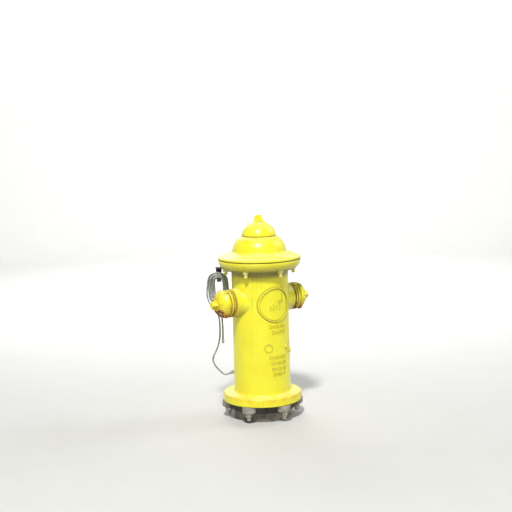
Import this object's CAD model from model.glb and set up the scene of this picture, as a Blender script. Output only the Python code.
import math

import bmesh
import bpy
from bpy.props import FloatProperty, FloatVectorProperty, IntProperty, PointerProperty
from mathutils import Matrix, Vector


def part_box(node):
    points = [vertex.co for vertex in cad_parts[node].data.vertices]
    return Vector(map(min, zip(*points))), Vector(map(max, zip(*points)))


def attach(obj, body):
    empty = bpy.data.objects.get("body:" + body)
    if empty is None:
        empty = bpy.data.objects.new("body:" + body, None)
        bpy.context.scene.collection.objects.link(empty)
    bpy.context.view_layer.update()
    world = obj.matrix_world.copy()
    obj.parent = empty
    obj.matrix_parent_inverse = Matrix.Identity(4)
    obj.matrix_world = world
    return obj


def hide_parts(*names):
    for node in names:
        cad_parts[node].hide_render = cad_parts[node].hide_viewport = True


bl_info = {
    "name": "Street hydrant",
    "version": (1, 0, 0),
    "blender": (4, 5, 0),
    "location": "View3D > Sidebar > Hydrant",
    "description": "Finishes a street hydrant's castings, metalwork and retaining cable, and lights it",
    "category": "Object",
}

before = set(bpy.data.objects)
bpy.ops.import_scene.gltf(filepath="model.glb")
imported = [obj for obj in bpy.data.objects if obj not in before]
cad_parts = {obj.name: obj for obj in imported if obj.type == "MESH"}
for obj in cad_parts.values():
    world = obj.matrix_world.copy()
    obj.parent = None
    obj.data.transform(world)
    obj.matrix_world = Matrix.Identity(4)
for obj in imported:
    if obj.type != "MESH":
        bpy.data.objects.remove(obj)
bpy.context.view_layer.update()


# ---------------------------------------------------------------- places read from the frame
def middle(node):
    """Centre of a CAD node's box."""
    low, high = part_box(node)
    return (Vector(low) + Vector(high)) / 2


NOZZLE_HEIGHT = middle("right_cap").z
CAP_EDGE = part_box("right_cap")[0][0]
CAP_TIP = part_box("right_cap")[1][0]
CAP_GAP = 0.0015
CAP_SKIRT = 0.0545
CAP_GROOVE_FLOOR = 0.0522
CAP_GROOVES_WIDTH = 0.031
CAP_NUT_LENGTH = 0.028
HOSE_THREAD_LENGTH = 0.027
HOSE_THREAD_PITCH = 0.0033867
NOZZLE_SEAT = CAP_EDGE - CAP_GAP
NOZZLE_BOSS_END = 0.133
BASE_FLANGE_EDGE = 0.155
BASE_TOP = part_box("upper_barrel")[0][2] + 0.031
BARREL_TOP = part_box("upper_barrel")[1][2]
BONNET_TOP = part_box("bonnet")[1][2]
# the wall and flange under the brim stay dry between these distances from the axis and heights
SHELTER_REACH = (0.156, 0.136)
SHELTER_HEIGHT = (BARREL_TOP - 0.074, BARREL_TOP - 0.052)
BADGE_HEIGHT = NOZZLE_HEIGHT - 0.0045
BADGE_RIM = 0.0665
BADGE_RIM_HALF = 0.0024
BADGE_DIRT_WIDTH = 0.0038
HOLLOW_UNDER_FLANGE = 0.1345
COIL_HEIGHT = middle("cable_coil").z

# ---------------------------------------------------------------- colours shared by several finishes
GRIME = (0.20, 0.17, 0.035, 1)
ORANGE_STAIN = (0.78, 0.27, 0.012, 1)
RUST_FILM = ((0.62, 0.20, 0.02, 1), (0.42, 0.105, 0.012, 1))
RUST_SCALE = ((0.17, 0.045, 0.012, 1), (0.045, 0.016, 0.008, 1))
SHELTERED_BLACK = (0.020, 0.020, 0.014, 1)
SCUFFED_IRON = (0.42, 0.41, 0.38, 1)
BRIGHT_STEEL = (0.74, 0.74, 0.73)


# ---------------------------------------------------------------- shader helpers
def add_node(tree, kind, inputs=None, **settings):
    """Adds a shader node. Inputs may be plain values or sockets to link from."""
    node = tree.nodes.new(kind)
    for key, value in settings.items():
        setattr(node, key, value)
    for key, value in (inputs or {}).items():
        if isinstance(value, bpy.types.NodeSocket):
            tree.links.new(value, node.inputs[key])
        else:
            node.inputs[key].default_value = value
    return node


def calc(tree, operation, a, b=0.0, clamp=False):
    """One step of arithmetic on values or sockets."""
    return add_node(tree, "ShaderNodeMath", {0: a, 1: b}, operation=operation, use_clamp=clamp).outputs[0]


def add(tree, a, b, clamp=False):
    return calc(tree, "ADD", a, b, clamp)


def times(tree, a, b, clamp=False):
    return calc(tree, "MULTIPLY", a, b, clamp)


def remap(tree, value, low, high, to_low=0.0, to_high=1.0):
    """Smooth step of a value between two limits."""
    node = add_node(
        tree,
        "ShaderNodeMapRange",
        {"Value": value, "From Min": low, "From Max": high, "To Min": to_low, "To Max": to_high},
        interpolation_type="SMOOTHSTEP",
    )
    return node.outputs[0]


def noise(tree, vector, scale, detail=3.0, rough=0.55):
    """Cloudy noise of a given number of cells to the metre."""
    node = add_node(
        tree,
        "ShaderNodeTexNoise",
        {"Vector": vector, "Scale": scale, "Detail": detail, "Roughness": rough},
    )
    return node.outputs[0]


def tint(tree, factor, first, second):
    """Mixes two colours by a factor."""
    return add_node(tree, "ShaderNodeMix", {0: factor, 6: first, 7: second}, data_type="RGBA").outputs[2]


def stretch(tree, vector, factors):
    """Scales a vector by three factors."""
    node = add_node(tree, "ShaderNodeVectorMath", {0: vector, 1: factors}, operation="MULTIPLY")
    return node.outputs[0]


def split(tree, vector):
    """The three parts of a vector."""
    node = add_node(tree, "ShaderNodeSeparateXYZ", {0: vector})
    return node.outputs[0], node.outputs[1], node.outputs[2]


def away_from(tree, value, centre):
    """How far a value is from another, either way."""
    return calc(tree, "ABSOLUTE", calc(tree, "SUBTRACT", value, centre))


def reach_from(tree, a, b):
    """Distance from an axis, given the two offsets square to it."""
    return calc(tree, "SQRT", add(tree, times(tree, a, a), times(tree, b, b)))


def start_group(name, inputs, outputs):
    """A new shader node group with its input and output nodes."""
    tree = bpy.data.node_groups.new(name, "ShaderNodeTree")
    for in_out, sockets in (("INPUT", inputs), ("OUTPUT", outputs)):
        for socket_name, kind in sockets:
            tree.interface.new_socket(name=socket_name, in_out=in_out, socket_type="NodeSocket" + kind)
    entry = tree.nodes.new("NodeGroupInput")
    leave = tree.nodes.new("NodeGroupOutput")
    return tree, entry.outputs, leave.inputs


def use_group(tree, name, inputs):
    """Places a shared effect in a material, and gives its outputs."""
    return add_node(tree, "ShaderNodeGroup", inputs, node_tree=shared_group(name)).outputs


# ---------------------------------------------------------------- shared shader effects
def build_cast_grain():
    """Skin of a sand casting under paint: soft lumps, fine grain and a few pits."""
    tree, given, result = start_group(
        "cast_grain", [("Vector", "Vector"), ("Scale", "Float")], [("Height", "Float")]
    )
    lumps = noise(tree, given["Vector"], times(tree, given["Scale"], 0.2), 2.0)
    grain = noise(tree, given["Vector"], given["Scale"], 4.0, 0.6)
    cells = add_node(
        tree,
        "ShaderNodeTexVoronoi",
        {"Vector": given["Vector"], "Scale": times(tree, given["Scale"], 0.45)},
    )
    pits = remap(tree, cells.outputs["Distance"], 0.03, 0.16, -0.5, 0.0)
    total = add(tree, times(tree, lumps, 1.5), times(tree, grain, 0.6))
    tree.links.new(add(tree, total, pits), result["Height"])
    return tree


def build_edge_wear():
    """Mask that is strong on edges and corners, broken up by noise."""
    tree, given, result = start_group(
        "edge_wear",
        [("Vector", "Vector"), ("Radius", "Float"), ("Breakup", "Float"), ("Amount", "Float")],
        [("Mask", "Float")],
    )
    bevel = add_node(tree, "ShaderNodeBevel", {"Radius": given["Radius"]}, samples=6)
    surface = add_node(tree, "ShaderNodeNewGeometry")
    facing = add_node(
        tree,
        "ShaderNodeVectorMath",
        {0: bevel.outputs[0], 1: surface.outputs["Normal"]},
        operation="DOT_PRODUCT",
    )
    edge = remap(tree, facing.outputs["Value"], 0.985, 0.86)
    patchy = noise(tree, given["Vector"], given["Breakup"], 5.0, 0.65)
    limit = calc(tree, "SUBTRACT", 1.0, given["Amount"])
    worn = calc(tree, "SUBTRACT", times(tree, edge, add(tree, patchy, 0.35)), limit)
    tree.links.new(remap(tree, worn, -0.06, 0.12), result["Mask"])
    return tree


def build_run_marks():
    """Mask of narrow runs that water leaves down a wall."""
    tree, given, result = start_group(
        "run_marks",
        [("Vector", "Vector"), ("Scale", "Float"), ("Amount", "Float")],
        [("Mask", "Float")],
    )
    long_way = stretch(tree, given["Vector"], (1.0, 1.0, 0.07))
    runs = noise(tree, long_way, given["Scale"], 3.0, 0.6)
    broad = noise(tree, given["Vector"], times(tree, given["Scale"], 0.12), 2.0)
    strong = times(tree, runs, add(tree, broad, 0.45))
    limit = calc(tree, "SUBTRACT", 0.85, times(tree, given["Amount"], 0.45))
    tree.links.new(
        remap(tree, calc(tree, "SUBTRACT", strong, limit), -0.05, 0.22), result["Mask"]
    )
    return tree


def build_rust():
    """Rust from orange film to dark scale, as the mask grows."""
    tree, given, result = start_group(
        "rust",
        [("Vector", "Vector"), ("Mask", "Float")],
        [("Color", "Color"), ("Height", "Float")],
    )
    speckle = noise(tree, given["Vector"], 420.0, 5.0, 0.7)
    patches = noise(tree, given["Vector"], 90.0, 3.0, 0.6)
    depth = times(tree, given["Mask"], add(tree, patches, 0.45), clamp=True)
    film = tint(tree, speckle, *RUST_FILM)
    scale = tint(tree, speckle, *RUST_SCALE)
    colour = tint(tree, remap(tree, depth, 0.45, 0.95), film, scale)
    tree.links.new(colour, result["Color"])
    tree.links.new(times(tree, speckle, given["Mask"]), result["Height"])
    return tree


def build_screw_thread():
    """Height of a thread's ridges along one direction, given the place along it."""
    tree, given, result = start_group(
        "screw_thread", [("Along", "Float"), ("Pitch", "Float")], [("Height", "Float")]
    )
    turns = calc(tree, "DIVIDE", given["Along"], given["Pitch"])
    ridge = calc(tree, "PINGPONG", turns, 0.5)
    tree.links.new(times(tree, ridge, 2.0), result["Height"])
    return tree


GROUP_BUILDERS = {
    "cast_grain": build_cast_grain,
    "edge_wear": build_edge_wear,
    "run_marks": build_run_marks,
    "rust": build_rust,
    "screw_thread": build_screw_thread,
}


def shared_group(name):
    """A shared effect's node group, built the first time that it is asked for."""
    return bpy.data.node_groups.get(name) or GROUP_BUILDERS[name]()


def start_material(name):
    """A material with its Principled shader and the object's own coordinates."""
    material = bpy.data.materials.new(name)
    material.use_nodes = True
    tree = material.node_tree
    shader = tree.nodes["Principled BSDF"]
    place = add_node(tree, "ShaderNodeTexCoord").outputs["Object"]
    return material, tree, shader, place


def connect(tree, shader, colour, rough, height, bump, distance=0.001):
    """Feeds colour, roughness and a bump height to the Principled shader."""
    tree.links.new(colour, shader.inputs["Base Color"])
    tree.links.new(rough, shader.inputs["Roughness"])
    relief = add_node(tree, "ShaderNodeBump", {"Strength": bump, "Distance": distance, "Height": height})
    tree.links.new(relief.outputs[0], shader.inputs["Normal"])


def facing_up(tree):
    """How far the surface faces up, from 0 to 1."""
    normal = add_node(tree, "ShaderNodeNewGeometry").outputs["Normal"]
    return calc(tree, "MAXIMUM", split(tree, normal)[2], 0.0)


def facing_down(tree):
    """How far the surface faces down, from 0 to 1."""
    normal = add_node(tree, "ShaderNodeNewGeometry").outputs["Normal"]
    return calc(tree, "MAXIMUM", times(tree, split(tree, normal)[2], -1.0), 0.0)


# ---------------------------------------------------------------- where rust gathers on each casting
def barrel_damp(tree, place):
    """Round the base flange's rim and foot, and below the ends of the nozzle bosses."""
    x, y, z = split(tree, place)
    rim = remap(tree, reach_from(tree, x, y), BASE_FLANGE_EDGE - 0.007, BASE_FLANGE_EDGE)
    rim = times(tree, rim, remap(tree, away_from(tree, z, BASE_TOP - 0.004), 0.012, 0.001))
    foot = remap(tree, z, BASE_TOP + 0.045, BASE_TOP - 0.004)
    damp = add(tree, times(tree, rim, 0.34), times(tree, foot, 0.14))
    boss = remap(tree, calc(tree, "ABSOLUTE", x), NOZZLE_BOSS_END - 0.015, NOZZLE_BOSS_END)
    below_middle = remap(tree, z, NOZZLE_HEIGHT - 0.012, NOZZLE_HEIGHT - 0.05)
    above_foot = remap(tree, z, NOZZLE_HEIGHT - 0.12, NOZZLE_HEIGHT - 0.08)
    boss = times(tree, times(tree, boss, 0.5), times(tree, below_middle, above_foot))
    return add(tree, damp, boss, clamp=True)


def under_brim(tree, place):
    """Dirt that rain never washes off: below the top flange, and at the foot of the badge's rim."""
    x, y, z = split(tree, place)
    inside = remap(tree, reach_from(tree, x, y), *SHELTER_REACH)
    high = remap(tree, z, *SHELTER_HEIGHT)
    sheltered = times(tree, times(tree, inside, high), 0.85)
    from_centre = reach_from(tree, x, calc(tree, "SUBTRACT", z, BADGE_HEIGHT))
    from_rim = away_from(tree, from_centre, BADGE_RIM)
    dirt_end = BADGE_RIM_HALF + BADGE_DIRT_WIDTH
    at_rim = remap(tree, from_rim, dirt_end, dirt_end - 0.002)
    at_rim = times(tree, at_rim, remap(tree, from_rim, BADGE_RIM_HALF, BADGE_RIM_HALF + 0.0006))
    at_rim = times(tree, at_rim, remap(tree, y, 0.0, -0.02))
    return add(tree, sheltered, times(tree, at_rim, 0.7), clamp=True)


def cap_grooves(tree, place):
    """The turned grooves round a cap's skirt."""
    x, y, z = split(tree, place)
    reach = reach_from(tree, y, calc(tree, "SUBTRACT", z, NOZZLE_HEIGHT))
    deep = remap(tree, reach, CAP_SKIRT, CAP_GROOVE_FLOOR)
    end = CAP_EDGE + CAP_GROOVES_WIDTH
    near = remap(tree, calc(tree, "ABSOLUTE", x), end, end - 0.003)
    return times(tree, times(tree, deep, near), 0.75)


def bonnet_damp(tree, place):
    """Along the brim's edge and in the groove under the weather cap."""
    z = split(tree, place)[2]
    brim = remap(tree, z, BARREL_TOP + 0.012, BARREL_TOP + 0.002)
    groove = remap(tree, z, BONNET_TOP - 0.016, BONNET_TOP - 0.009)
    return times(tree, add(tree, brim, groove), 0.3, clamp=True)


def cap_damp(tree, place):
    """The lower half of each cap, its inner edge, its grooves and the root of its nut."""
    x, y, z = split(tree, place)
    out = calc(tree, "ABSOLUTE", x)
    low = remap(tree, z, NOZZLE_HEIGHT + 0.004, NOZZLE_HEIGHT - 0.045)
    edge = remap(tree, out, CAP_EDGE + 0.014, CAP_EDGE)
    nut_root = remap(tree, away_from(tree, out, CAP_TIP - CAP_NUT_LENGTH), 0.014, 0.002)
    wide = add(tree, times(tree, low, 0.74), times(tree, nut_root, 0.5))
    wide = add(tree, wide, times(tree, cap_grooves(tree, place), 0.5))
    return add(tree, wide, times(tree, edge, times(tree, low, 0.4)), clamp=True)


def top_damp(tree, place):
    """A little round the rim of the weather cap."""
    z = split(tree, place)[2]
    return times(tree, remap(tree, z, BONNET_TOP + 0.004, BONNET_TOP - 0.008), 0.22)


# ---------------------------------------------------------------- materials
def worn_edges(tree, place, radius, breakup, amount):
    """Mask of edges and corners rubbed bare."""
    given = {"Vector": place, "Radius": radius, "Breakup": breakup, "Amount": amount}
    return use_group(tree, "edge_wear", given)["Mask"]


def enamel(name, damp_zone, wear, grime_zone=None):
    """Glossy yellow enamel over iron: sun-bleached on top, rusted where water stays."""
    paint = bpy.context.scene.hydrant_paint
    material, tree, shader, place = start_material(name)
    fresh = (*paint.colour, 1)
    deep = (*paint.deep_colour, 1)
    pale = (*paint.bleached_colour, 1)
    cloudy = noise(tree, place, 9.0, 4.0, 0.6)
    colour = tint(tree, remap(tree, cloudy, 0.38, 0.68), fresh, deep)
    bleached = times(tree, facing_up(tree), noise(tree, place, 26.0, 4.0, 0.6))
    bleached = remap(tree, bleached, 0.18, 0.72, 0.0, paint.bleaching)
    colour = tint(tree, bleached, colour, pale)
    # dust and exhaust film, heavier in runs and underneath
    runs = use_group(tree, "run_marks", {"Vector": place, "Scale": 55.0, "Amount": paint.dirt})["Mask"]
    dirt = add(tree, times(tree, runs, 0.30), times(tree, facing_down(tree), 0.8), clamp=True)
    if grime_zone:
        dirt = add(tree, dirt, grime_zone(tree, place), clamp=True)
    colour = tint(tree, dirt, colour, GRIME)
    # orange stain, then bare rust
    damp = damp_zone(tree, place)
    blotch = noise(tree, place, 34.0, 6.0, 0.68)
    stain = times(tree, damp, remap(tree, blotch, 0.36, 0.60))
    colour = tint(tree, times(tree, stain, 0.85, clamp=True), colour, ORANGE_STAIN)
    fine = noise(tree, place, 110.0, 5.0, 0.7)
    blister = remap(tree, times(tree, damp, times(tree, blotch, fine)), 0.155, 0.225)
    edges = worn_edges(tree, place, 0.0022, 70.0, wear)
    specks = remap(tree, noise(tree, place, 240.0, 3.0, 0.5), 0.715, 0.75, 0.0, 0.8)
    bare = calc(tree, "MAXIMUM", calc(tree, "MAXIMUM", blister, edges), specks)
    rust = use_group(tree, "rust", {"Vector": place, "Mask": bare})
    colour = tint(tree, bare, colour, rust["Color"])
    rough = add(tree, times(tree, cloudy, 0.16), paint.roughness)
    rough = add(tree, rough, times(tree, bleached, 0.18))
    rough = add(tree, rough, times(tree, calc(tree, "MAXIMUM", stain, bare), 0.42), clamp=True)
    grain = use_group(tree, "cast_grain", {"Vector": place, "Scale": 150.0})["Height"]
    height = calc(tree, "SUBTRACT", grain, times(tree, bare, 0.9))
    height = add(tree, height, times(tree, rust["Height"], 0.8))
    connect(tree, shader, colour, rough, height, 0.35, 0.0009)
    shader.inputs["Coat Weight"].default_value = 0.25
    shader.inputs["Coat Roughness"].default_value = 0.26
    return material


def overspray(name):
    """Fasteners caught by the yellow paint: thin on the faces, worn and rusty on the edges."""
    material, tree, shader, place = start_material(name)
    thin = noise(tree, place, 120.0, 4.0, 0.6)
    colour = tint(tree, remap(tree, thin, 0.35, 0.7), (0.84, 0.74, 0.12, 1), (0.90, 0.84, 0.34, 1))
    worn = worn_edges(tree, place, 0.0016, 160.0, 0.62)
    bare = calc(tree, "MAXIMUM", worn, remap(tree, noise(tree, place, 210.0, 5.0, 0.7), 0.60, 0.68))
    rust = use_group(tree, "rust", {"Vector": place, "Mask": bare})
    colour = tint(tree, bare, colour, rust["Color"])
    rough = remap(tree, bare, 0.0, 1.0, 0.42, 0.86)
    z = split(tree, place)[2]
    thread = use_group(tree, "screw_thread", {"Along": z, "Pitch": 0.0018})["Height"]
    height = add(tree, times(tree, thin, 0.7), times(tree, rust["Height"], 0.8))
    if "stud" in name:
        height = add(tree, times(tree, height, 0.3), thread)
    connect(tree, shader, colour, rough, height, 0.6, 0.0008)
    return material


def bare_iron(name, light, dark, rust_share, hidden_reach=None):
    """Unpainted casting: dry sandy skin with some rust, black within hidden_reach of the axis."""
    material, tree, shader, place = start_material(name)
    clouds = noise(tree, place, 28.0, 5.0, 0.62)
    colour = tint(tree, remap(tree, clouds, 0.32, 0.7), (*dark, 1), (*light, 1))
    damp = remap(tree, noise(tree, place, 46.0, 6.0, 0.7), 0.66 - 0.2 * rust_share, 0.72)
    rust = use_group(tree, "rust", {"Vector": place, "Mask": damp})
    colour = tint(tree, times(tree, damp, 0.8), colour, rust["Color"])
    worn = worn_edges(tree, place, 0.0022, 95.0, 0.66)
    colour = tint(tree, times(tree, worn, 0.6), colour, SCUFFED_IRON)
    if hidden_reach:
        reach = reach_from(tree, *split(tree, place)[:2])
        sheltered = remap(tree, reach, hidden_reach + 0.008, hidden_reach + 0.001, 0.0, 0.85)
        colour = tint(tree, sheltered, colour, SHELTERED_BLACK)
    rough = add(tree, times(tree, clouds, 0.25), 0.58)
    grain = use_group(tree, "cast_grain", {"Vector": place, "Scale": 210.0})["Height"]
    height = add(tree, grain, rust["Height"])
    connect(tree, shader, colour, rough, height, 0.7, 0.0011)
    shader.inputs["Metallic"].default_value = 0.15
    return material


def turned_metal(name, bright, dull, rough_low, turn_scale, thread=None):
    """Machined metal: fine turning marks, dull patches and an optional thread along an axis."""
    material, tree, shader, place = start_material(name)
    patch = noise(tree, place, 36.0, 5.0, 0.62)
    colour = tint(tree, remap(tree, patch, 0.34, 0.7), (*bright, 1), (*dull, 1))
    spots = remap(tree, noise(tree, place, 190.0, 4.0, 0.65), 0.60, 0.70, 0.0, 0.6)
    colour = tint(tree, spots, colour, (0.13, 0.07, 0.03, 1))
    marks = noise(tree, stretch(tree, place, turn_scale), 1.0, 2.0, 0.5)
    rough = add(tree, times(tree, marks, 0.22), rough_low)
    rough = add(tree, rough, times(tree, patch, 0.2), clamp=True)
    height = add(tree, times(tree, marks, 0.3), times(tree, spots, -0.2))
    if thread:
        axis, pitch, start, end = thread
        along = calc(tree, "ABSOLUTE", split(tree, place)[axis])
        ridges = use_group(tree, "screw_thread", {"Along": along, "Pitch": pitch})["Height"]
        cut = times(tree, remap(tree, along, start, start + 0.001), remap(tree, along, end, end - 0.001))
        height = add(tree, height, times(tree, ridges, times(tree, cut, 1.6)))
    connect(tree, shader, colour, rough, height, 0.6, 0.0009)
    shader.inputs["Metallic"].default_value = 1.0
    return material


def fastener_steel(name):
    """Plated studs and nuts near the ground: bright ends, white bloom and rust."""
    material, tree, shader, place = start_material(name)
    patch = noise(tree, place, 80.0, 5.0, 0.65)
    colour = tint(tree, remap(tree, patch, 0.36, 0.66), (0.66, 0.64, 0.58, 1), (0.34, 0.31, 0.27, 1))
    rusty = remap(tree, noise(tree, place, 130.0, 5.0, 0.7), 0.52, 0.62)
    rust = use_group(tree, "rust", {"Vector": place, "Mask": rusty})
    colour = tint(tree, times(tree, rusty, 0.85), colour, rust["Color"])
    rough = remap(tree, rusty, 0.0, 1.0, 0.38, 0.85)
    height = add(tree, patch, rust["Height"])
    if "stud" in name:
        along = split(tree, place)[2]
        ridges = use_group(tree, "screw_thread", {"Along": along, "Pitch": 0.0022})["Height"]
        height = add(tree, times(tree, height, 0.3), ridges)
    connect(tree, shader, colour, rough, height, 0.6, 0.0009)
    tree.links.new(remap(tree, rusty, 0.0, 1.0, 0.85, 0.1), shader.inputs["Metallic"])
    return material


def rubber(name, colour_now, grain_scale):
    """Seals and gaskets: matt, slightly dusty, with a fine moulded grain."""
    material, tree, shader, place = start_material(name)
    dust = noise(tree, place, 60.0, 4.0, 0.6)
    lighter = tuple(min(1.0, c * 2.4 + 0.02) for c in colour_now)
    colour = tint(tree, remap(tree, dust, 0.45, 0.75), (*colour_now, 1), (*lighter, 1))
    rough = add(tree, times(tree, dust, 0.25), 0.55)
    grain = noise(tree, place, grain_scale, 3.0, 0.6)
    connect(tree, shader, colour, rough, grain, 0.35, 0.0004)
    return material


def nozzle_bronze(name):
    """Turned bronze with the hose thread between the boss and the nozzle's mouth."""
    return turned_metal(
        name,
        (0.72, 0.50, 0.22),
        (0.42, 0.31, 0.15),
        0.22,
        (900.0, 60.0, 60.0),
        thread=(0, HOSE_THREAD_PITCH, NOZZLE_SEAT + 0.001, NOZZLE_SEAT + HOSE_THREAD_LENGTH),
    )


def cable_jacket(name):
    """Weathered grey-green cable: light strands with dark lines of dirt between them."""
    material, tree, shader, place = start_material(name)
    depth = add_node(tree, "ShaderNodeAttribute", attribute_name="groove").outputs["Fac"]
    mottle = noise(tree, place, 170.0, 4.0, 0.65)
    broad = noise(tree, place, 22.0, 3.0, 0.6)
    colour = tint(tree, remap(tree, mottle, 0.35, 0.7), (0.25, 0.28, 0.24, 1), (0.50, 0.53, 0.49, 1))
    colour = tint(tree, remap(tree, broad, 0.5, 0.7, 0.0, 0.5), colour, (0.15, 0.19, 0.13, 1))
    dirt = remap(tree, depth, 0.25, 0.95)
    colour = tint(tree, times(tree, dirt, 0.85), colour, (0.035, 0.04, 0.03, 1))
    bleached = remap(tree, facing_up(tree), 0.3, 1.0, 0.0, 0.35)
    colour = tint(tree, bleached, colour, (0.68, 0.70, 0.67, 1))
    rough = add(tree, times(tree, mottle, 0.2), 0.42)
    connect(tree, shader, colour, rough, mottle, 0.4, 0.0004)
    return material


def galvanised(name):
    """Zinc coating: pale spangle, dull in places, rust at the cut edges."""
    material, tree, shader, place = start_material(name)
    spangle = add_node(tree, "ShaderNodeTexVoronoi", {"Vector": place, "Scale": 150.0}).outputs["Color"]
    facet = split(tree, spangle)[0]
    colour = tint(tree, facet, (0.36, 0.37, 0.37, 1), (0.55, 0.56, 0.55, 1))
    worn = worn_edges(tree, place, 0.0012, 140.0, 0.62)
    rust = use_group(tree, "rust", {"Vector": place, "Mask": worn})
    colour = tint(tree, worn, colour, rust["Color"])
    rough = add(tree, times(tree, facet, 0.18), 0.42)
    connect(tree, shader, colour, rough, facet, 0.15, 0.0004)
    shader.inputs["Metallic"].default_value = 0.8
    return material


def finish_nodes(material, names):
    """Gives a material to carried CAD nodes."""
    for name in names:
        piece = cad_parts[name]
        piece.data.materials.clear()
        piece.data.materials.append(material)


# ---------------------------------------------------------------- settings
class HydrantPaint(bpy.types.PropertyGroup):
    """Colours and age of the enamel."""

    colour: FloatVectorProperty(
        name="Colour", description="Fresh enamel", subtype="COLOR",
        default=(0.86, 0.82, 0.026), min=0, max=1,
    )
    deep_colour: FloatVectorProperty(
        name="Deep colour", description="Thicker or older enamel", subtype="COLOR",
        default=(0.83, 0.75, 0.018), min=0, max=1,
    )
    bleached_colour: FloatVectorProperty(
        name="Bleached colour", description="Enamel chalked by the sun", subtype="COLOR",
        default=(0.92, 0.90, 0.38), min=0, max=1,
    )
    bleaching: FloatProperty(
        name="Bleaching", description="Chalking of upward faces", default=0.75, min=0, max=1
    )
    dirt: FloatProperty(name="Dirt", description="Amount of run marks", default=0.55, min=0, max=1)
    roughness: FloatProperty(
        name="Roughness", description="Roughness of clean enamel", default=0.27, min=0, max=1
    )


class HydrantCable(bpy.types.PropertyGroup):
    """Sizes of the retaining cable."""

    diameter: FloatProperty(
        name="Diameter", description="Outside diameter", subtype="DISTANCE", default=0.007
    )
    strands: IntProperty(name="Strands", description="Strands round the cable", default=6, min=3)
    lay_length: FloatProperty(
        name="Lay length", description="Length of one twist of the strands",
        subtype="DISTANCE", default=0.046,
    )
    coil_turns: IntProperty(name="Coil turns", description="Turns in the coil", default=6, min=2)


class HydrantStage(bpy.types.PropertyGroup):
    """Viewpoint and light."""

    distance: FloatProperty(
        name="Distance", description="Camera to barrel axis", subtype="DISTANCE", default=4.0697
    )
    height: FloatProperty(
        name="Height", description="Camera above the ground", subtype="DISTANCE", default=1.176
    )
    azimuth: FloatProperty(
        name="Azimuth", description="Camera round the hydrant", subtype="ANGLE", default=-0.5402
    )
    pitch: FloatProperty(
        name="Pitch", description="Camera looks down by this", subtype="ANGLE", default=0.1280
    )
    yaw: FloatProperty(
        name="Yaw", description="Camera turned to its left", subtype="ANGLE", default=0.0032
    )
    roll: FloatProperty(name="Roll", description="Camera tilt", subtype="ANGLE", default=0.0250)
    lens: FloatProperty(name="Lens", description="Focal length in millimetres", default=72.1)
    key_power: FloatProperty(
        name="Key light", description="Power of the key light", subtype="POWER", default=380.0
    )


# ---------------------------------------------------------------- stage
def aim(obj, target):
    """Turns a light to face a point."""
    direction = Vector(target) - obj.location
    obj.rotation_mode = "QUATERNION"
    obj.rotation_quaternion = direction.to_track_quat("-Z", "Y")


def area_light(name, place, target, size, power, colour):
    """A round soft light."""
    data = bpy.data.lights.new(name, "AREA")
    data.shape = "DISK"
    data.size = size
    data.energy = power
    data.color = colour
    light = bpy.data.objects.new(name, data)
    light.location = place
    bpy.context.scene.collection.objects.link(light)
    aim(light, target)


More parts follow.
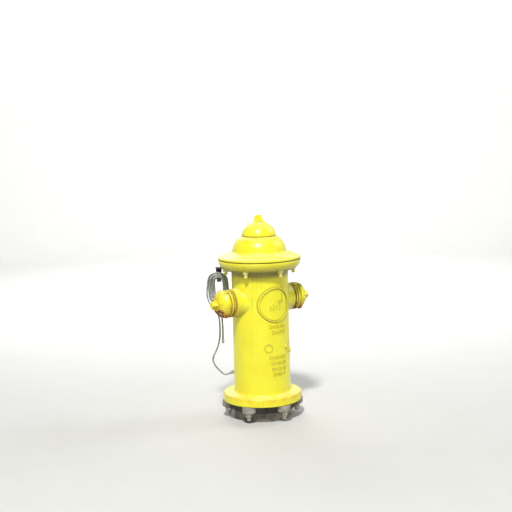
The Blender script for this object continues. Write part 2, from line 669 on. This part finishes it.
class HYDRANT_OT_stage(bpy.types.Operator):
    """Makes the floor with its curved surround, the lights, the sky and the camera"""

    bl_idname = "hydrant.stage"
    bl_label = "Stage"

    def execute(self, context):
        settings = context.scene.hydrant_stage
        self.make_floor()
        self.make_camera(context, settings)
        self.make_lights(context, settings)
        return {"FINISHED"}

    def make_floor(self):
        """A round pale floor that curves up into a low wall all round."""
        floor_radius = 5.2
        bend = 1.4
        wall_top = 4.5
        bend_steps = 8
        profile = [(0.0, 0.0), (floor_radius, 0.0)]
        for step in range(1, bend_steps + 1):
            angle = math.pi / 2 * step / bend_steps
            profile.append((floor_radius + bend * math.sin(angle), bend * (1 - math.cos(angle))))
        profile.append((floor_radius + bend, wall_top))
        mesh = bpy.data.meshes.new("floor")
        work = bmesh.new()
        points = [work.verts.new((r, 0, z)) for r, z in profile]
        edges = [work.edges.new(pair) for pair in zip(points, points[1:])]
        bmesh.ops.spin(
            work, geom=points + edges, axis=(0, 0, 1), cent=(0, 0, 0), dvec=(0, 0, 0),
            angle=2 * math.pi, steps=96,
        )
        bmesh.ops.remove_doubles(work, verts=work.verts, dist=0.0005)
        bmesh.ops.recalc_face_normals(work, faces=work.faces)
        work.to_mesh(mesh)
        work.free()
        for face in mesh.polygons:
            face.use_smooth = True
        floor = bpy.data.objects.new("floor", mesh)
        bpy.context.scene.collection.objects.link(floor)
        material, tree, shader, place = start_material("pale_floor")
        speckle = noise(tree, place, 5.0, 3.0, 0.5)
        colour = tint(tree, speckle, (0.66, 0.66, 0.65, 1), (0.70, 0.70, 0.69, 1))
        tree.links.new(colour, shader.inputs["Base Color"])
        shader.inputs["Roughness"].default_value = 0.9
        mesh.materials.append(material)

    def make_camera(self, context, settings):
        """A camera set by its place round the hydrant and its own three turns."""
        back = Vector((math.sin(settings.azimuth), -math.cos(settings.azimuth), 0))
        right = Vector((math.cos(settings.azimuth), math.sin(settings.azimuth), 0))
        level = -back * math.cos(settings.yaw) - right * math.sin(settings.yaw)
        side = right * math.cos(settings.yaw) - back * math.sin(settings.yaw)
        forward = level * math.cos(settings.pitch) - Vector((0, 0, math.sin(settings.pitch)))
        up = side.cross(forward)
        tilted_side = side * math.cos(settings.roll) - up * math.sin(settings.roll)
        tilted_up = up * math.cos(settings.roll) + side * math.sin(settings.roll)
        data = bpy.data.cameras.new("camera")
        data.lens = settings.lens
        data.clip_end = 50.0
        camera = bpy.data.objects.new("camera", data)
        turn = Matrix((tilted_side, tilted_up, -forward)).transposed().to_4x4()
        place = back * settings.distance + Vector((0, 0, settings.height))
        camera.matrix_world = Matrix.Translation(place) @ turn
        context.scene.collection.objects.link(camera)
        context.scene.camera = camera

    def make_lights(self, context, settings):
        """A high key light, weak lights on the right and behind, one on the wall, and a dim sky."""
        on_hydrant = (0, 0, BARREL_TOP * 0.62)
        on_wall = (3.3, 5.4, 0.9)
        lights = (
            # name, place, target, size, share of the key's power, colour
            ("key_light", (-2.35, -3.05, 5.25), on_hydrant, 0.75, 1.0, (1.0, 0.985, 0.95)),
            ("fill_light", (3.4, -0.9, 3.2), on_hydrant, 1.6, 0.11, (0.92, 0.96, 1.0)),
            ("back_light", (0.6, 3.2, 2.6), on_hydrant, 1.8, 0.07, (0.95, 0.97, 1.0)),
            ("wall_light", (1.3, 2.1, 3.9), on_wall, 2.0, 0.6, (1.0, 1.0, 1.0)),
        )
        for name, place, target, size, share, colour in lights:
            area_light(name, place, target, size, settings.key_power * share, colour)
        world = bpy.data.worlds.new("sky")
        world.use_nodes = True
        sky = world.node_tree.nodes["Background"]
        sky.inputs["Color"].default_value = (0.93, 0.96, 1.0, 1)
        sky.inputs["Strength"].default_value = 0.05
        context.scene.world = world
        context.scene.view_settings.view_transform = "Standard"


# ---------------------------------------------------------------- cable
CABLE_SIDE = math.radians(146.0)
REACH_DIR = Vector((math.cos(CABLE_SIDE), math.sin(CABLE_SIDE), 0))
FRONT_DIR = Vector((-math.sin(CABLE_SIDE), math.cos(CABLE_SIDE), 0))


def in_cable_plane(reach, front, z):
    """A point by its distance from the barrel's axis, its distance in front, and its height."""
    return REACH_DIR * reach + FRONT_DIR * front + Vector((0, 0, z))


# the anchor leans down out of the barrel
ANCHOR_DIP = math.radians(26.0)
ANCHOR_DIR = REACH_DIR * math.cos(ANCHOR_DIP) - Vector((0, 0, math.sin(ANCHOR_DIP)))
RUN_START = in_cable_plane(0.114, 0, 0.182) + ANCHOR_DIR * 0.015
RUN_POINTS = [
    RUN_START,
    RUN_START + ANCHOR_DIR * 0.012,
    in_cable_plane(0.1520, -0.0010, 0.1680),
    in_cable_plane(0.1650, -0.0020, 0.1765),
    in_cable_plane(0.1785, -0.0030, 0.1905),
    in_cable_plane(0.1910, -0.0030, 0.2060),
    in_cable_plane(0.1990, -0.0020, 0.2240),
    in_cable_plane(0.1970, 0.0000, 0.2435),
    in_cable_plane(0.1860, 0.0020, 0.2630),
    in_cable_plane(0.1740, 0.0030, 0.2900),
    in_cable_plane(0.1665, 0.0035, 0.3280),
    in_cable_plane(0.1655, 0.0030, 0.3700),
    in_cable_plane(0.1680, 0.0032, 0.4100),
]
# the run crosses in front of the turns to the outer one
CROSSING_IN = [
    in_cable_plane(0.1790, 0.0090, 0.4360),
    in_cable_plane(0.2020, 0.0110, 0.4600),
    in_cable_plane(0.2145, 0.0075, 0.4900),
]
# the tail leaves behind them
CROSSING_OUT = [
    in_cable_plane(0.1290, -0.0070, 0.4920),
    in_cable_plane(0.1400, -0.0100, 0.4640),
    in_cable_plane(0.1530, -0.0100, 0.4400),
]
TAIL_POINTS = [
    in_cable_plane(0.1575, -0.0020, 0.4140),
    in_cable_plane(0.1555, 0.0000, 0.3800),
    in_cable_plane(0.1545, 0.0010, 0.3470),
    in_cable_plane(0.1555, -0.0010, 0.3160),
]
COIL_REACH = 0.171
COIL_OUTER = 0.0450
COIL_INNER = 0.0158
COIL_HALF_STRAIGHT = 0.026
OPENING_SHIFT = 0.006
OPENING_LIFT = 0.004
LAYER_GAP = 0.0035
COIL_LOOSENESS = 0.0007
STEPS_A_TURN = 16
RING_SPACING = 0.0018
SIDES_A_STRAND = 6
GROOVE_DEPTH = 0.14


def coil_points(settings):
    """The coil's turns: one layer wound inward, and a second behind it wound back outward."""
    centre = in_cable_plane(COIL_REACH, 0, COIL_HEIGHT)
    turns = settings.coil_turns
    points = []
    # the run joins the outer turn on its far side, and the last turn leaves it on the near side
    first = round(0.25 * STEPS_A_TURN)
    last = round((turns - 0.25) * STEPS_A_TURN)
    for step in range(first, last + 1):
        turn = step / STEPS_A_TURN
        inward = 1 - abs(2 * turn / turns - 1)
        radius = COIL_OUTER + (COIL_INNER - COIL_OUTER) * inward
        radius += COIL_LOOSENESS * math.sin(2.3 * step)
        angle = -math.pi / 2 - 2 * math.pi * turn
        layer = min(1.0, max(-1.0, (turns / 2 - turn) * 4))
        upright = radius * math.sin(angle) + OPENING_LIFT * inward
        if abs(math.sin(angle)) > 1e-6:
            upright += math.copysign(COIL_HALF_STRAIGHT, math.sin(angle))
        across = -radius * math.cos(angle) - OPENING_SHIFT * inward
        front = 0.0005 + LAYER_GAP * layer
        points.append(centre + REACH_DIR * across + FRONT_DIR * front + Vector((0, 0, upright)))
    return points


def sampled_route(points, name):
    """Evenly followed points of a smooth curve with the given control points."""
    data = bpy.data.curves.new(name, "CURVE")
    data.dimensions = "3D"
    data.resolution_u = 12
    spline = data.splines.new("NURBS")
    spline.points.add(len(points) - 1)
    for target, point in zip(spline.points, points):
        target.co = (*point, 1)
    spline.order_u = 3
    spline.use_endpoint_u = True
    guide = bpy.data.objects.new(name, data)
    bpy.context.scene.collection.objects.link(guide)
    mesh = bpy.data.meshes.new_from_object(guide)
    line = [vertex.co.copy() for vertex in mesh.vertices]
    bpy.data.objects.remove(guide)
    bpy.data.curves.remove(data)
    bpy.data.meshes.remove(mesh)
    return line


def route_length(line):
    """Length along a line of points."""
    return sum((b - a).length for a, b in zip(line, line[1:]))


def even_line(line, step):
    """The same line with points a set step apart."""
    total = route_length(line)
    count = max(2, round(total / step))
    spaced = [line[0].copy()]
    walked = 0.0
    index = 0
    for wanted in range(1, count):
        goal = total * wanted / count
        while walked + (line[index + 1] - line[index]).length < goal:
            walked += (line[index + 1] - line[index]).length
            index += 1
        piece = line[index + 1] - line[index]
        spaced.append(line[index] + piece * ((goal - walked) / piece.length))
    spaced.append(line[-1].copy())
    return spaced


def stranded_tube(name, line, radius, strands, lay_length):
    """A laid cable: a lobed section that turns as it follows the line."""
    sides = strands * SIDES_A_STRAND
    mesh = bpy.data.meshes.new(name)
    verts = []
    grooves = []
    faces = []
    tangent = (line[1] - line[0]).normalized()
    across = tangent.orthogonal().normalized()
    walked = 0.0
    for index, point in enumerate(line):
        ahead = line[min(index + 1, len(line) - 1)]
        behind = line[max(index - 1, 0)]
        new_tangent = (ahead - behind).normalized()
        across = (across - new_tangent * across.dot(new_tangent)).normalized()
        other = new_tangent.cross(across)
        if index:
            walked += (point - line[index - 1]).length
        twist = 2 * math.pi * walked / lay_length
        for side in range(sides):
            angle = 2 * math.pi * side / sides
            dip = 1 - abs(math.cos(strands * angle / 2))
            reach = radius * (1 - GROOVE_DEPTH * dip * dip)
            turned = angle + twist
            verts.append(point + (across * math.cos(turned) + other * math.sin(turned)) * reach)
            grooves.append(dip)
    for ring in range(len(line) - 1):
        for side in range(sides):
            nxt = (side + 1) % sides
            first, second = ring * sides, (ring + 1) * sides
            faces.append((first + side, first + nxt, second + nxt, second + side))
    faces.append(tuple(reversed(range(sides))))
    last = (len(line) - 1) * sides
    faces.append(tuple(last + side for side in range(sides)))
    mesh.from_pydata(verts, [], faces)
    mesh.validate()
    layer = mesh.attributes.new("groove", "FLOAT", "POINT")
    layer.data.foreach_set("value", grooves)
    for face in mesh.polygons:
        face.use_smooth = len(face.vertices) == 4
    tube = bpy.data.objects.new(name, mesh)
    bpy.context.scene.collection.objects.link(tube)
    return tube


class HYDRANT_OT_cable(bpy.types.Operator):
    """Lays the retaining cable from its anchor, up into the coil and down to its ferrule"""

    bl_idname = "hydrant.cable"
    bl_label = "Retaining cable"

    def execute(self, context):
        settings = context.scene.hydrant_cable
        half = settings.diameter / 2
        points = RUN_POINTS + CROSSING_IN + coil_points(settings) + CROSSING_OUT + TAIL_POINTS
        line = even_line(sampled_route(points, "cable_route"), RING_SPACING)
        cable = stranded_tube("retaining_cable", line, half, settings.strands, settings.lay_length)
        cable.data.materials.append(cable_jacket("cable_jacket"))
        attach(cable, "hydrant")
        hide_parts("cable_run", "cable_coil", "cable_tail")
        finish_nodes(galvanised("anchor_zinc"), ["cable_anchor"])
        black = bare_iron("hanger_iron", (0.06, 0.06, 0.058), (0.018, 0.018, 0.017), 0.1)
        finish_nodes(black, ["cable_hanger"])
        steel = turned_metal("ferrule_steel", BRIGHT_STEEL, (0.45, 0.45, 0.44), 0.3, (90.0, 90.0, 700.0))
        finish_nodes(steel, ["cable_ferrule"])
        return {"FINISHED"}


# ---------------------------------------------------------------- castings and metalwork
class HYDRANT_OT_castings(bpy.types.Operator):
    """Paints the barrel, bonnet, weather cap, operating nut and hose caps"""

    bl_idname = "hydrant.castings"
    bl_label = "Painted castings"

    def execute(self, context):
        finish_nodes(enamel("barrel_enamel", barrel_damp, 0.50, under_brim), ["upper_barrel"])
        finish_nodes(enamel("bonnet_enamel", bonnet_damp, 0.50), ["bonnet"])
        finish_nodes(enamel("top_enamel", top_damp, 0.52), ["weather_cap", "operating_nut"])
        finish_nodes(enamel("cap_enamel", cap_damp, 0.60, cap_grooves), ["left_cap", "right_cap"])
        return {"FINISHED"}


class HYDRANT_OT_ironwork(bpy.types.Operator):
    """Finishes the breakaway flange, the lower barrel, the studs and the nuts"""

    bl_idname = "hydrant.ironwork"
    bl_label = "Bare iron and fasteners"

    def execute(self, context):
        grey = bare_iron(
            "breakaway_iron", (0.46, 0.44, 0.38), (0.20, 0.19, 0.155), 0.30, HOLLOW_UNDER_FLANGE
        )
        finish_nodes(grey, ["safety_flange", "stem_coupling"])
        dusty = bare_iron("dusty_iron", (0.34, 0.31, 0.25), (0.11, 0.10, 0.08), 0.15)
        finish_nodes(dusty, ["lower_barrel"])
        finish_nodes(fastener_steel("base_stud_steel"), ["base_studs"])
        finish_nodes(fastener_steel("base_nut_steel"), ["base_nuts"])
        finish_nodes(overspray("bonnet_stud_paint"), ["bonnet_studs"])
        finish_nodes(overspray("bonnet_nut_paint"), ["bonnet_nuts"])
        return {"FINISHED"}


class HYDRANT_OT_inner_parts(bpy.types.Operator):
    """Finishes the bronze, steel, plastic and rubber pieces inside"""

    bl_idname = "hydrant.inner_parts"
    bl_label = "Inner parts"

    def execute(self, context):
        finish_nodes(nozzle_bronze("nozzle_bronze"), ["left_hose_nozzle", "right_hose_nozzle"])
        bronze = turned_metal(
            "turned_bronze", (0.70, 0.47, 0.20), (0.46, 0.32, 0.14), 0.24, (70.0, 70.0, 900.0)
        )
        finish_nodes(bronze, ["hold_down_nut", "thrust_washer", "stem_sleeve"])
        steel = turned_metal(
            "stem_steel", (0.56, 0.56, 0.56), (0.33, 0.31, 0.29), 0.28, (60.0, 60.0, 800.0)
        )
        finish_nodes(steel, ["upper_stem", "lower_stem"])
        pins = turned_metal("pin_stainless", BRIGHT_STEEL, (0.5, 0.5, 0.49), 0.2, (800.0, 90.0, 90.0))
        finish_nodes(pins, ["sleeve_pin", "coupling_pins", "nozzle_set_screws"])
        seals = rubber("seal_rubber", (0.018, 0.018, 0.018), 600.0)
        finish_nodes(seals, ["stem_seals", "hold_down_seal"])
        for side in ("left", "right"):
            finish_nodes(seals, [f"{side}_nozzle_seal", f"{side}_cap_gasket"])
        sheet = rubber("gasket_sheet", (0.07, 0.055, 0.045), 380.0)
        finish_nodes(sheet, ["barrel_gasket", "bonnet_gasket"])
        finish_nodes(rubber("washer_acetal", (0.62, 0.60, 0.52), 500.0), ["anti_friction_washer"])
        return {"FINISHED"}


class HYDRANT_PT_panel(bpy.types.Panel):
    """Steps and settings of the hydrant"""

    bl_idname = "HYDRANT_PT_panel"
    bl_label = "Street hydrant"
    bl_space_type = "VIEW_3D"
    bl_region_type = "UI"
    bl_category = "Hydrant"

    def draw(self, context):
        for step in STEPS:
            self.layout.operator(step)
        scene = context.scene
        for group in (scene.hydrant_paint, scene.hydrant_cable, scene.hydrant_stage):
            box = self.layout.box()
            for key in group.__annotations__:
                box.prop(group, key)


STEPS = (
    "hydrant.stage",
    "hydrant.cable",
    "hydrant.castings",
    "hydrant.ironwork",
    "hydrant.inner_parts",
)
CLASSES = (
    HydrantPaint,
    HydrantCable,
    HydrantStage,
    HYDRANT_OT_stage,
    HYDRANT_OT_cable,
    HYDRANT_OT_castings,
    HYDRANT_OT_ironwork,
    HYDRANT_OT_inner_parts,
    HYDRANT_PT_panel,
)


def register():
    for each in CLASSES:
        bpy.utils.register_class(each)
    bpy.types.Scene.hydrant_paint = PointerProperty(type=HydrantPaint)
    bpy.types.Scene.hydrant_cable = PointerProperty(type=HydrantCable)
    bpy.types.Scene.hydrant_stage = PointerProperty(type=HydrantStage)


def unregister():
    del bpy.types.Scene.hydrant_stage
    del bpy.types.Scene.hydrant_cable
    del bpy.types.Scene.hydrant_paint
    for each in reversed(CLASSES):
        bpy.utils.unregister_class(each)


def main():
    register()
    for step in STEPS:
        group, name = step.split(".")
        getattr(getattr(bpy.ops, group), name)()


if __name__ == "__main__":
    main()
